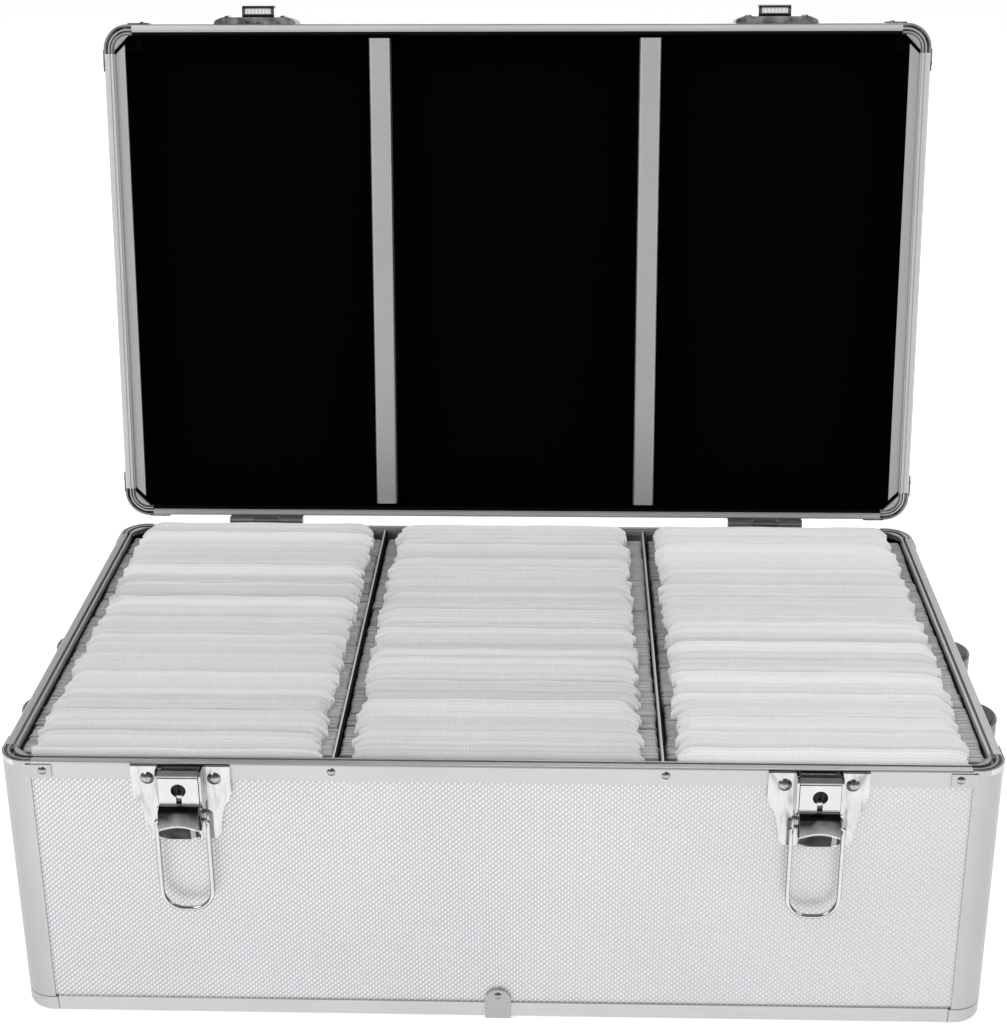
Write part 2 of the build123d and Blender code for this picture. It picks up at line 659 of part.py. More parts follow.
def lid_inside():
    """Lining, two partitions with channel strips, and an angle strip along each end wall."""
    x, y = HALF_W - WALL, HALF_D - WALL
    floor = box(-x, x, -y, y, WALL, LINING_TOP)
    for block in four_corners(box(0, CORNER_LEG, 0, CORNER_LEG, 0, LINING_TOP + 1)):
        floor -= block
    foot_x, foot_y = HALF_W - EDGE_FOOT, HALF_D - EDGE_FOOT
    under = box(-foot_x, foot_x, -foot_y, foot_y, INNER, WALL)
    for block in four_corners(box(0, CAP_LEG, 0, CAP_LEG, 0, WALL + 1)):
        under -= block
    floor += under
    face = LID_HEIGHT - 0.8
    partitions, channels, strips = [], [], []
    for side in (-1, 1):
        centre = side * DIVIDER_X
        inner = CHANNEL_HALF - 1.2
        under = LID_HEIGHT - MOUTH_THICK
        board = box(centre - inner, centre + inner, -y, y, LINING_TOP, under)
        end = HALF_D - LID_LIP - 2.0
        board += box(centre - inner, centre + inner, -end, end, under, face - 1.2)
        partitions.append(board)
        outline = FilletPolyline(
            (centre - CHANNEL_HALF + 0.6, face - CHANNEL_LEG),
            (centre - CHANNEL_HALF + 0.6, face - 0.6),
            (centre + CHANNEL_HALF - 0.6, face - 0.6),
            (centre + CHANNEL_HALF - 0.6, face - CHANNEL_LEG),
            radius=1.2,
        )
        plane = Plane(origin=(0, end, 0), x_dir=(1, 0, 0), z_dir=(0, -1, 0))
        channel = extrude(plane * trace(outline, line_width=1.2), amount=2 * end)
        channels.append(channel - board)
    h = LID_HEIGHT
    outline = Polyline(
        (WALL, LINING_TOP),
        (WALL + 1.2, LINING_TOP),
        (WALL + 1.2, h - 3.6),
        (WALL + 6.4, h - 3.6),
        (WALL + 6.4, h - 2.4),
        (LID_LIP, h - 2.4),
        (LID_LIP, h - MOUTH_THICK),
        (WALL, h - MOUTH_THICK),
        close=True,
    )
    cut = Polyline((0, 0), (MITRE_SUM, 0), (0, MITRE_SUM), close=True)
    wedges = four_corners(extrude(make_face(cut), amount=h))
    for turn in (1, 3):
        strip = Rot(0, 0, 90 * turn) * run_front(outline, HALF_W, HALF_D - WALL)
        for wedge in wedges:
            strip -= wedge
        strips.append(strip)
    return floor, partitions, channels, strips


def lid():
    """The lid, made with its mouth up, turned over onto the base and swung open."""

    def opened(shapes):
        return [lid_shut(shape).rotate(HINGE_AXIS, -LID_OPEN_DEG) for shape in shapes]

    half = tray(LID_HEIGHT, True)
    rivets = lid_rivets()
    up = [lid_shut(one) for one in rivets]
    names = ["lid_front_panel", "lid_right_panel", "lid_rear_panel", "lid_left_panel"]
    nodes["lid_top_board"] = opened([half["board"]])
    for name, wall in zip(names, drill(half["walls"], up)):
        nodes[name] = opened([wall])
    nodes["lid_edge_profiles"] = opened(half["edge_profiles"])
    floor, partitions, channels, strips = lid_inside()
    nodes["lid_corner_profiles"] = opened(drill(half["corner_profiles"], strips))
    nodes["lid_corner_caps"] = opened(half["corner_caps"])
    nodes["lid_mouth_profiles"] = opened(drill(half["mouth_profiles"], up))
    nodes["lid_mouth_corners"] = opened(drill(half["mouth_corners"], up))
    nodes["lid_lining"] = opened([floor] + half["lining"])
    nodes["lid_partitions"] = opened(partitions)
    nodes["lid_channels"] = opened(channels)
    nodes["lid_side_strips"] = opened(strips)
    for name, side in (("left", -1), ("right", 1)):
        plate = drill([Pos(side * LATCH_X, 0, 0) * catch()], rivets)
        nodes["catch_" + name] = [piece.rotate(HINGE_AXIS, -LID_OPEN_DEG) for piece in plate]
    nodes["lid_rivets"] = [one.rotate(HINGE_AXIS, -LID_OPEN_DEG) for one in rivets]


def write_parts():
    """One STEP file for each named piece or group of like pieces."""
    os.makedirs("parts", exist_ok=True)
    for name, shape in nodes.items():
        found = solids_of(shape)
        group = found[0] if len(found) == 1 else Compound(children=found)
        group.label = name
        export_step(group, "parts/" + name + ".step")
    print(len(nodes), "parts written")


base_boards_and_profiles()
inside_of_base()
contents()
bottom_clip()
latches()
hinges()
carry_handles()
lid()
write_parts()
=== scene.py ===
"""A flight-case style storage case for discs, standing open, with three rows of hanging sleeves."""
import math
import random

import bpy
from mathutils import Matrix, Vector


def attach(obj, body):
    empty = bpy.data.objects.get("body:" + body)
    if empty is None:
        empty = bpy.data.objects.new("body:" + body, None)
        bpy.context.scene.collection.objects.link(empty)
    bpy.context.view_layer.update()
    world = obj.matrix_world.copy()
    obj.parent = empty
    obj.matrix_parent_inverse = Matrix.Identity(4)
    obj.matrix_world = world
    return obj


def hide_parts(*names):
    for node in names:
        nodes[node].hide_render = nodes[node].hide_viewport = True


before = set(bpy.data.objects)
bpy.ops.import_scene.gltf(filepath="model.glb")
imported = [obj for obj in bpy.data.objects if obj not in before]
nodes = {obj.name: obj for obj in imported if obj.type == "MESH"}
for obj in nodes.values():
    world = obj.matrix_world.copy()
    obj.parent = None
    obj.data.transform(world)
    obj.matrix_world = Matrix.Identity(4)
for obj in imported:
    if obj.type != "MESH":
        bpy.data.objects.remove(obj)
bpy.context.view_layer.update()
scene = bpy.context.scene
scene.view_settings.view_transform = "Standard"

# The camera stands in front of the case, a little above the open lid, and looks down into the tray.
# Its place was worked out from the straight edges of the case: base, mouth and lid.
eye = Vector((0.0319, -0.9737, 0.6239))
yaw, pitch, roll = -0.0353, 0.3955, -0.0071
ahead = Vector((math.sin(yaw) * math.cos(pitch), math.cos(yaw) * math.cos(pitch), -math.sin(pitch)))
across = Vector((math.cos(yaw), -math.sin(yaw), 0))
upward = across.cross(ahead)
tilted_across = across * math.cos(roll) + upward * math.sin(roll)
tilted_up = upward * math.cos(roll) - across * math.sin(roll)
lens = bpy.data.cameras.new("camera")
lens.lens = 67.2
lens.shift_x, lens.shift_y = 0.0013, 0.0088
camera = bpy.data.objects.new("camera", lens)
camera.matrix_world = Matrix.Translation(eye) @ Matrix(
    (tilted_across, tilted_up, -ahead)).transposed().to_4x4()
scene.collection.objects.link(camera)
scene.camera = camera


# The studio: a white floor that keeps the case's shadow, an even pale room, and three large soft lamps.
# What the lens sees of the room is plain white, and polished metal sees white walls under a darker ceiling.
def grey(level):
    return (level, level, level, 1)


class Field:
    """A socket of a shader tree that can be reckoned with, and the one way to add a node to it."""

    def __init__(self, tree, socket=None):
        self.tree, self.socket = tree, socket

    def node(self, kind, inputs=(), out=0, stops=(), **settings):
        made = self.tree.nodes.new("ShaderNode" + kind)
        for name, value in settings.items():
            setattr(made, name, value)
        if stops:
            ramp = made.color_ramp.elements
            while len(ramp) < len(stops):
                ramp.new(0.5)
            for stop, (place, level) in zip(ramp, stops):
                stop.position, stop.color = place, grey(level)
        for name, value in dict(inputs).items():
            if isinstance(value, Field):
                self.tree.links.new(value.socket, made.inputs[name])
            else:
                made.inputs[name].default_value = value
        return Field(self.tree, made.outputs[out])

    def math(self, operation, other=0.0, third=0.0):
        return self.node("Math", {0: self, 1: other, 2: third}, operation=operation)

    def tint(self, low, high):
        """Goes from the colour low to the colour high as this value goes from 0 to 1."""
        return self.node("Mix", {0: self, 6: low, 7: high}, out=2, data_type="RGBA")

    def ramp(self, value, stops):
        """What a ramp of greys gives at value."""
        return self.node("SeparateColor", {0: self.node("ValToRGB", {0: value}, stops=stops)}, out="Red")

    def to(self, socket):
        self.tree.links.new(self.socket, socket)

    def __add__(self, other):
        return self.math("ADD", other)

    def __mul__(self, other):
        return self.math("MULTIPLY", other)

    def __sub__(self, other):
        return self.math("SUBTRACT", other)

    def __rsub__(self, other):
        return self.node("Math", {0: other, 1: self}, operation="SUBTRACT")

    def __gt__(self, other):
        return self.math("GREATER_THAN", other)

    __radd__, __rmul__ = __add__, __mul__


def seen_directly(tree):
    lens_ray = Field(tree).node("LightPath", out="Is Camera Ray")
    shiny = Field(tree).node("LightPath", out="Is Glossy Ray")
    clear = Field(tree).node("LightPath", out="Is Transmission Ray")
    return lens_ray, lens_ray.math("MAXIMUM", shiny).math("MAXIMUM", clear)


BLACK, WHITE = grey(0), grey(1)
ROOM_LIGHT, DARK_CEILING = grey(0.56), grey(0.16)
CEILING_STEEPNESS, CEILING_FROM = 3.5, 1.1
room = bpy.data.worlds.new("room")
room.use_nodes = True
scene.world = room
backdrop = room.node_tree.nodes["Background"]
by_lens, by_mirror = seen_directly(room.node_tree)
height = by_lens.node("SeparateXYZ", {0: by_lens.node("TexCoord", out="Generated")}, out="Z")
ceiling = by_lens.node("Math", {0: height, 1: CEILING_STEEPNESS, 2: -CEILING_FROM}, operation="MULTIPLY_ADD",
                       use_clamp=True)
walls = (ceiling * (1 - by_lens)).tint(WHITE, DARK_CEILING)
by_mirror.tint(ROOM_LIGHT, walls).to(backdrop.inputs["Color"])

FLOOR_REACH, FLOOR_BELOW, FLOOR_GREY, FLOOR_GLOW = 6.0, 0.0002, 0.82, 0.50
ground = bpy.data.meshes.new("floor")
ground.from_pydata([(x * FLOOR_REACH, y * FLOOR_REACH, 0) for x, y in ((-1, -1), (1, -1), (1, 1), (-1, 1))],
                   [], [(0, 1, 2, 3)])
floor = bpy.data.objects.new("floor", ground)
floor.location.z = -FLOOR_BELOW
scene.collection.objects.link(floor)
paper = bpy.data.materials.new("white_floor")
paper.use_nodes = True
paper_sockets = paper.node_tree.nodes["Principled BSDF"].inputs
paper_sockets["Base Color"].default_value = grey(FLOOR_GREY)
paper_sockets["Roughness"].default_value = 0.9
paper_sockets["Specular IOR Level"].default_value = 0.1
paper_sockets["Emission Strength"].default_value = FLOOR_GLOW
seen_directly(paper.node_tree)[1].tint(BLACK, WHITE).to(paper_sockets["Emission Color"])
ground.materials.append(paper)

LAMPS = (("lamp_left", (-1.5, -1.4, 1.9), 1.3, 26),
         ("lamp_right", (1.9, -0.9, 1.5), 1.1, 12),
         ("lamp_back", (0.2, 1.6, 2.1), 1.2, 14))
CASE_MIDDLE = Vector((0, 0, 0.12))
for name, place, width, watts in LAMPS:
    light = bpy.data.lights.new(name, "AREA")
    light.shape, light.size, light.energy = "DISK", width, watts
    lamp = bpy.data.objects.new(name, light)
    lamp.location = place
    lamp.rotation_euler = (CASE_MIDDLE - lamp.location).to_track_quat("-Z", "Y").to_euler()
    scene.collection.objects.link(lamp)


# The walls, the floor and the lid's top are thin aluminium skins on board, rolled with a fine pattern of
# raised dots in staggered rows, and slid into the profiles before the corners were riveted shut.
def new_finish(name, **plain):
    skin = bpy.data.materials.new(name)
    skin.use_nodes = True
    shader = skin.node_tree.nodes["Principled BSDF"]
    for socket, value in plain.items():
        shader.inputs[socket.replace("_", " ")].default_value = value
    return skin, shader.inputs, Field(skin.node_tree)


def wear(material, *names):
    for name in names:
        nodes[name].data.materials.clear()
        nodes[name].data.materials.append(material)


def as_shut(field, socket, tilt):
    """A place or a direction on the piece; on the lid, as if it were shut."""
    found = field.node("TexCoord", out=socket)
    if tilt:
        middle = HINGE if socket == "Object" else (0, 0, 0)
        found = field.node("VectorRotate", {"Vector": found, "Center": middle, "Angle": tilt}, rotation_type="X_AXIS")
    return found


def axes(field, vector, wanted="XYZ"):
    return [field.node("SeparateXYZ", {0: vector}, out=axis) for axis in wanted]


LID_TILT, HINGE = math.radians(98.8), (0, 0.1564, 0.151)
HALF_WIDTH, HALF_DEPTH, CORNER_ROUND = 0.250, 0.153, 0.015
FULL_TURN = 2 * math.pi


def inset_from(x, y):
    """How far a point lies inside the case's outline, whose corners are rounded."""
    past_x = (x.math("ABSOLUTE") - (HALF_WIDTH - CORNER_ROUND)).math("MAXIMUM", 0.0)
    past_y = (y.math("ABSOLUTE") - (HALF_DEPTH - CORNER_ROUND)).math("MAXIMUM", 0.0)
    return CORNER_ROUND - (past_x * past_x + past_y * past_y).math("SQRT")


DOT_PITCH, ROW_PITCH, DOT_RISE, DOT_SHOULDER = 0.00306, 0.00279, 0.38, 0.16
SLANT, SLANT_PER_METRE, FLATTER_PER_METRE = 0.12, 0.45, 2.4
DOT_VALLEY_SHADE, DOT_CROWN_HIGHLIGHT = (0.36, 0.36, 0.38, 1), (0.86, 0.86, 0.88, 1)
FACES_AXIS = 0.7


def embossed_skin(name, tilt):
    skin, inputs, field = new_finish(name, Metallic=0.7)
    place = as_shut(field, "Object", tilt)
    x, y, z = axes(field, place)
    nx, nz = axes(field, as_shut(field, "Normal", tilt), "XZ")
    along = x + (nx.math("ABSOLUTE") > FACES_AXIS) * (y - x)
    rows = z + (nz.math("ABSOLUTE") > FACES_AXIS) * (y - z)
    turn, climb = along * (FULL_TURN / DOT_PITCH), rows * (FULL_TURN / ROW_PITCH)
    slant = SLANT - x * SLANT_PER_METRE
    dots = (turn - climb).math("COSINE") * (slant + 0.5) + (turn + climb).math("COSINE") * (0.5 - slant)
    depth = 1 - x.math("MAXIMUM", 0.0) * FLATTER_PER_METRE
    height = (dots * DOT_RISE + (turn * 2).math("COSINE") * DOT_SHOULDER) * depth + 0.5
    cloud = field.node("TexNoise", {"Vector": place, "Scale": 9.0, "Detail": 3.0})
    grain = field.node("TexNoise", {"Vector": place, "Scale": 900.0, "Detail": 2.0})
    tone = height + (cloud - 0.5) * 0.22 + (grain - 0.5) * 0.5
    # Painted shade and highlight on the raised dots: their valleys are coloured darker and their crowns lighter.
    tone.tint(DOT_VALLEY_SHADE, DOT_CROWN_HIGHLIGHT).to(inputs["Base Color"])
    (0.46 - height * 0.10 + (grain - 0.5) * 0.12).to(inputs["Roughness"])
    field.node("Bump", {"Height": height, "Distance": 0.0004, "Strength": 0.25}).to(inputs["Normal"])
    return skin


wear(embossed_skin("embossed_aluminium", 0), "bottom_board", "front_panel", "rear_panel", "left_panel", "right_panel")
wear(embossed_skin("embossed_aluminium_lid", LID_TILT), "lid_top_board", "lid_front_panel", "lid_rear_panel",
     "lid_left_panel", "lid_right_panel")


# The edge, mouth and corner profiles are drawn aluminium lengths, mitred at the corners and satin anodised,
# with faint draw lines along them. Inside the case their legs are covered with black foam.
WALL, FLOOR_TOP, LID_UNDERSIDE = 0.003, 0.003, 0.187
LIP, LIP_AT_CORNER = 0.0046, 0.0176
CAP_REACH, CAP_TOP, LID_CAP_LOW = 0.0180, 0.0088, 0.1812
NEAR_BLACK, SEAM_COLOUR = grey(0.002), grey(0.03)
DRAWN_ALONG, DRAWN_ACROSS = 25, 1400


def satin_profile(name, shade, tilt=0, upright=False, rough=0.38, foam=False, dark_lip=False, seams=False):
    skin, inputs, field = new_finish(name, Metallic=0.85)
    place = as_shut(field, "Object", tilt)
    x, y, z = axes(field, place)
    nx, ny = axes(field, as_shut(field, "Normal", tilt), "XY")
    stretch = (DRAWN_ACROSS, DRAWN_ACROSS, DRAWN_ALONG) if upright else (DRAWN_ALONG, DRAWN_ACROSS, DRAWN_ACROSS)
    drawn = field.node("VectorMath", {0: place, 1: stretch}, operation="MULTIPLY")
    lines = field.node("TexNoise", {"Vector": drawn, "Scale": 1.0, "Detail": 3.0})
    cloud = field.node("TexNoise", {"Vector": place, "Scale": 14.0, "Detail": 3.0})
    scratch = field.node("TexNoise", {"Vector": place, "Scale": 260.0, "Detail": 4.0, "Distortion": 1.2})
    # Painted reflection: the rounded corners, where faces turn between front and side, are coloured darker.
    corner_reflection_shade = (nx * ny).math("ABSOLUTE") * 2
    tone = lines * 0.4 + cloud * 0.45 + scratch * 0.15 - corner_reflection_shade * 0.35
    dark = tuple(0.80 * c for c in shade) + (1,)
    light = tuple(min(1.0, 1.16 * c) for c in shade) + (1,)
    colour = tone.tint(dark, light)
    from_end = HALF_WIDTH - x.math("ABSOLUTE")
    from_front = HALF_DEPTH - y.math("ABSOLUTE")
    if foam:
        covered = (inset_from(x, y) > WALL) * (z > FLOOR_TOP) * (1 - (z > LID_UNDERSIDE))
        colour = covered.tint(colour, NEAR_BLACK)
    # dark_lip colours the long lid mouth profiles near black more than 4.6 mm in from their outer face, away from the
    # corners.
    if dark_lip:
        colour = ((from_front > LIP) * (from_end > LIP_AT_CORNER)).tint(colour, NEAR_BLACK)
    if seams:
        seam = (from_end.math("MAXIMUM", from_front) > CAP_REACH) + (z > CAP_TOP) * (1 - (z > LID_CAP_LOW))
        colour = (seam * 0.7).tint(colour, SEAM_COLOUR)
    colour.to(inputs["Base Color"])
    (rough + (lines - 0.5) * 0.16 + (scratch - 0.5) * 0.14).to(inputs["Roughness"])
    field.node("Bump", {"Height": lines, "Distance": 0.00005, "Strength": 0.25}).to(inputs["Normal"])
    return skin


WARM_SATIN, CAP_SATIN = (0.55, 0.55, 0.54), (0.54, 0.54, 0.54)
wear(satin_profile("satin_edges", (0.56, 0.56, 0.555)), "bottom_edge_profiles")
wear(satin_profile("satin_caps", CAP_SATIN, foam=True, seams=True), "bottom_corner_caps")
wear(satin_profile("satin_clip", (0.42, 0.42, 0.41), rough=0.3), "bottom_clip")
wear(satin_profile("satin_posts", (0.51, 0.51, 0.51), upright=True, foam=True), "corner_profiles")
wear(satin_profile("satin_mouth", WARM_SATIN), "mouth_profiles")
wear(satin_profile("satin_lid_edges", WARM_SATIN, LID_TILT), "lid_edge_profiles")
# Painted shade: the lid's channels and side strips get a darker copy of the same satin grey.
wear(satin_profile("shaded_satin_strips", (0.41, 0.41, 0.405), LID_TILT), "lid_channels", "lid_side_strips")
wear(satin_profile("satin_lid_caps", CAP_SATIN, LID_TILT, foam=True, seams=True), "lid_corner_caps")
wear(satin_profile("satin_lid_posts", WARM_SATIN, LID_TILT, upright=True, foam=True), "lid_corner_profiles")
wear(satin_profile("satin_lid_mouth", WARM_SATIN, LID_TILT, dark_lip=True), "lid_mouth_profiles")


# The mouth corners, latches, catches and handle fittings are stamped or cast steel, nickel plated and polished.
# Their colour holds painted reflections: faces that lean up or down get painted dark and bright bands, and the ribs
# of the corners get painted highlights with near-black painted shade in their valleys.
REFLECTION_BANDS = ((0.0, 0.04), (0.22, 0.10), (0.36, 0.62), (0.44, 1.0), (0.50, 0.80), (0.555, 0.86), (0.62, 0.24),
         (0.74, 0.12), (0.86, 0.62), (0.94, 0.80), (1.0, 0.42))
NICKEL_DARK, EVEN_LEVEL, EAR_LEVEL = (0.01, 0.01, 0.012, 1), 0.55, 0.58
STREAK_STOPS = ((0.30, 0.0), (0.42, 0.75), (0.55, 1.0))
PLATE_TOP_EDGE, TOP_EDGE_SHADE = 0.1488, 0.85
RIBBED_WIDTH, LEVEL_FACE, FRONT_FACE = 0.0085, 0.6, 0.9


def plated(name, shade, rough, tilt=0, ribs=None, reflection_streaks=0.0, side_shade=0.45, even=0.0):
    """Nickel plate with painted reflections: faces that look sideways are darkened as painted shade by the given
    amount, and even takes out the painted dark and bright bands.
    """
    skin, inputs, field = new_finish(name, Metallic=0.92)
    place = as_shut(field, "Object", tilt)
    x, y, z = axes(field, place)
    nx, ny, nz = axes(field, as_shut(field, "Normal", tilt))
    haze = field.node("TexNoise", {"Vector": place, "Scale": 90.0, "Detail": 4.0})
    scratch = field.node("TexNoise", {"Vector": place, "Scale": 700.0, "Detail": 3.0, "Distortion": 0.8})
    lean = nz * 0.5 + 0.5 + (haze - 0.5) * 0.09
    value = field.ramp(lean, REFLECTION_BANDS) * (1 - nx.math("ABSOLUTE").math("POWER", 3.0) * side_shade)
    if even:
        value = value * (1 - even) + even * EVEN_LEVEL
    if reflection_streaks:
        # Painted reflections: blurred upright streaks of shade on the latch plates, and a dark painted band along
        # their top edge.
        streak = field.node("VectorMath", {0: place, 1: (150, 150, 45)}, operation="MULTIPLY")
        mirrored = field.node("TexNoise", {"Vector": streak, "Scale": 1.0, "Detail": 1.5, "Distortion": 1.0})
        value = value * (1 - reflection_streaks + field.ramp(mirrored, STREAK_STOPS) * reflection_streaks)
        value = value * (1 - (z > PLATE_TOP_EDGE) * TOP_EDGE_SHADE)
    # Painted highlights and near-black painted shade in stripes across the ribs on the corners' level faces; their
    # front faces get an even grey.
    if ribs:
        rib = field.ramp(inset_from(x, y) * (1 / RIBBED_WIDTH), ribs)
        level = nz.math("ABSOLUTE") > LEVEL_FACE
        value = value + level * (rib + (haze - 0.5) * 0.5 - value)
        value = value + (1 - level) * (ny.math("ABSOLUTE") > FRONT_FACE) * (EAR_LEVEL - value)
    value = value + (scratch - 0.5) * 0.10
    value.tint(NICKEL_DARK, shade + (1,)).to(inputs["Base Color"])
    (rough + (haze - 0.5) * 0.10 + (scratch - 0.5) * 0.06).to(inputs["Roughness"])
    return skin


BRIGHT, MID_GREY, DULL, SHADED = (0.80, 0.80, 0.81), (0.60, 0.60, 0.61), (0.55, 0.55, 0.56), (0.30, 0.30, 0.31)
RIBS = ((0.0, 0.30), (0.08, 0.75), (0.16, 0.10), (0.30, 0.16), (0.37, 0.85), (0.44, 0.20), (0.54, 0.06),
        (0.62, 0.70), (0.72, 0.35), (0.82, 0.75), (1.0, 0.55))
# The lid's rib stripes are a darker copy, as painted shade.
SHADED_LID_RIBS = ((0.0, 0.12), (0.08, 0.42), (0.16, 0.04), (0.31, 0.05), (0.37, 0.80), (0.43, 0.08), (0.54, 0.03),
            (0.62, 0.50), (0.71, 0.10), (0.82, 0.48), (1.0, 0.35))
wear(plated("polished_nickel", BRIGHT, 0.13, reflection_streaks=0.45), "latch_plate_left", "latch_plate_right")
wear(plated("bright_wire", BRIGHT, 0.11, side_shade=0.85),
     "latch_loop_left", "latch_loop_right", "handle_bail_left", "handle_bail_right")
wear(plated("polished_nickel_lid", DULL, 0.13, LID_TILT), "lid_rivets")
wear(plated("rivet_steel", (0.52, 0.52, 0.53), 0.2, side_shade=0.8), "base_rivets")
wear(plated("ribbed_nickel", BRIGHT, 0.16, ribs=RIBS), "mouth_corners")
wear(plated("ribbed_nickel_lid", BRIGHT, 0.16, LID_TILT, ribs=SHADED_LID_RIBS), "lid_mouth_corners")
wear(plated("handle_nickel", SHADED, 0.12, side_shade=0.9), "handle_brackets_left", "handle_brackets_right")
wear(plated("plated_steel", MID_GREY, 0.22, even=0.6),
     "latch_pin_left", "latch_pin_right", "hinge_lower_leaves", "hinge_pins")
wear(plated("plated_steel_lid", MID_GREY, 0.22, LID_TILT, even=0.6), "hinge_upper_leaves")


# The latch lever is bent from one sheet. Its colour holds painted reflection bands, and a painted highlight between
# dark lines along its top.
# Its rolled thumb tab is painted nearly black, lightening up to a painted bright ridge, with a painted glint at its
# right and a painted highlight along its lower edge; the lock plug sits deep in the keyhole.
TAB_FROM, TAB_HALF, LATCH_AT = 0.1628, 0.0095, 0.1575
LIP_SHADOW, LIP_BRIGHT, LIP_END = 0.1461, 0.1467, 0.1493
RIDGE, RIDGE_BOW, RIDGE_BELOW, RIDGE_ABOVE, UPPER_HEIGHT = 0.1226, 0.0022, 0.0005, 0.0004, 0.0070
BELLY, GLINT_FROM, GLINT_TO = 0.1141, 0.62, 0.88
skin, inputs, field = new_finish("lever_nickel", Metallic=0.92)
place = field.node("TexCoord", out="Object")
x, y, z = axes(field, place)
nx, nz = axes(field, field.node("TexCoord", out="Normal"), "XZ")
haze = field.node("TexNoise", {"Vector": place, "Scale": 120.0, "Detail": 4.0})
lean = nz * 0.5 + 0.5 + (haze - 0.5) * 0.06
face = field.ramp(lean, REFLECTION_BANDS) * (1 - nx.math("ABSOLUTE").math("POWER", 3.0) * 0.35)
lip_shading = (z > LIP_BRIGHT) * 0.62 - (z > LIP_END) * 0.58 + 0.05
face = face + (z > LIP_SHADOW) * (lip_shading - face) + (haze - 0.5) * 0.25
off = (x - x.math("SIGN") * LATCH_AT) * (1 / TAB_HALF)
bow = off * off * RIDGE_BOW
above = z + bow - RIDGE
ridge_highlight = (above > -RIDGE_BELOW) * (1 - (above > RIDGE_ABOVE))
upper_tab_shade = (above > 0.0) * ((UPPER_HEIGHT - above) * 55 + (haze - 0.5) * 0.5)
glint = (off > GLINT_FROM) * (1 - (off > GLINT_TO)) * 0.4
belly_highlight = (1 - (z - bow > BELLY)) * 0.55
rolled = (1 - (above > 0.0)) * (0.05 + (haze - 0.5) * 0.25 + glint + belly_highlight)
tab = (upper_tab_shade + rolled + ridge_highlight * 0.5).math("MAXIMUM", 0.02)
on_tab = (y * -1) > TAB_FROM
(face + on_tab * (tab - face)).tint((0.005, 0.005, 0.006, 1), BRIGHT + (1,)).to(inputs["Base Color"])
(0.14 + (haze - 0.5) * 0.12).to(inputs["Roughness"])
wear(skin, "latch_lever_left", "latch_lever_right")
wear(plated("lock_plug", (0.03, 0.03, 0.03), 0.3), "lock_cam_left", "lock_cam_right")


# The catches on the lid are cast and less polished: a dish around a hook. The hook's turned-up end has a painted
# highlight with fine teeth across it, above a near-black painted shadow on its neck.
DISH_THICK, NECK_OUT, NOSE_FROM, NOSE_TO, NOSE_HALF = 0.0042, 0.0056, 0.0062, 0.0096, 0.0078
TOOTH_PITCH = 0.0022
skin, inputs, field = new_finish("cast_catch", Metallic=0.9)
place = as_shut(field, "Object", LID_TILT)
x, y = axes(field, place, "XY")
proud = y * -1 - HALF_DEPTH
off = (x - x.math("SIGN") * LATCH_AT).math("ABSOLUTE")
haze = field.node("TexNoise", {"Vector": place, "Scale": 160.0, "Detail": 4.0})
dish = 0.20 + (haze - 0.5) * 0.9
teeth = (x * (FULL_TURN / TOOTH_PITCH)).math("COSINE") * 0.12
nose_highlight = (proud > NOSE_FROM) * (1 - (proud > NOSE_TO)) * (1 - (off > NOSE_HALF)) * (0.75 + teeth)
hook_shading = (proud > NECK_OUT) * 0.10 + nose_highlight
value = dish + (proud > DISH_THICK) * (hook_shading - dish)
value.tint((0.004, 0.004, 0.005, 1), BRIGHT + (1,)).to(inputs["Base Color"])
(0.20 + (haze - 0.5) * 0.16).to(inputs["Roughness"])
wear(skin, "catch_left", "catch_right")


# Black foam sheet lines the walls and the lid, and covers the two lid partitions. The hanger rails are black
# board, and the handles' grips are moulded in black plastic round the wire.
def black_stuff(name, shade, rough, gloss):
    skin, inputs, field = new_finish(name, Specular_IOR_Level=gloss)
    place = field.node("TexCoord", out="Object")
    nap = field.node("TexNoise", {"Vector": place, "Scale": 500.0, "Detail": 3.0})
    nap.tint(tuple(0.6 * c for c in shade) + (1,), tuple(1.5 * c for c in shade) + (1,)).to(inputs["Base Color"])
    (rough + (nap - 0.5) * 0.2).to(inputs["Roughness"])
    field.node("Bump", {"Height": nap, "Distance": 0.0002, "Strength": 0.3}).to(inputs["Normal"])
    return skin


wear(black_stuff("black_foam", (0.0008, 0.0008, 0.0009), 0.9, 0.02), "wall_lining", "lid_lining", "lid_partitions")
wear(black_stuff("black_board", (0.010, 0.010, 0.011), 0.6, 0.1), "hanger_rails")
wear(black_stuff("black_grip", (0.012, 0.012, 0.013), 0.3, 0.4), "handle_grip_left", "handle_grip_right")


# The two dividers are black board. A folded grey strip covers the left part of each top edge, and a painted highlight
# runs along its fold beside the black core.
DIVIDER_AT, DIVIDER_TOP = 0.0820, 0.1400
STRIP_GREY, STRIP_END, FOLD_BRIGHT, FOLD_FROM, FOLD_TO = 0.42, -0.0001, 0.30, -0.0004, 0.0001
skin, inputs, field = new_finish("divider_board", Specular_IOR_Level=0.1)
place = field.node("TexCoord", out="Object")
x, z = axes(field, place, "XZ")
nap = field.node("TexNoise", {"Vector": place, "Scale": 500.0, "Detail": 3.0})
from_middle = x - x.math("SIGN") * DIVIDER_AT
fold_highlight = (from_middle > FOLD_FROM) * (1 - (from_middle > FOLD_TO)) * FOLD_BRIGHT
strip = (1 - (from_middle > STRIP_END)) * STRIP_GREY + fold_highlight
((z > DIVIDER_TOP) * strip + (nap - 0.5) * 0.02 + 0.01).tint(BLACK, WHITE).to(inputs["Base Color"])
(0.6 + (nap - 0.5) * 0.2).to(inputs["Roughness"])
wear(skin, "divider_left", "divider_right")


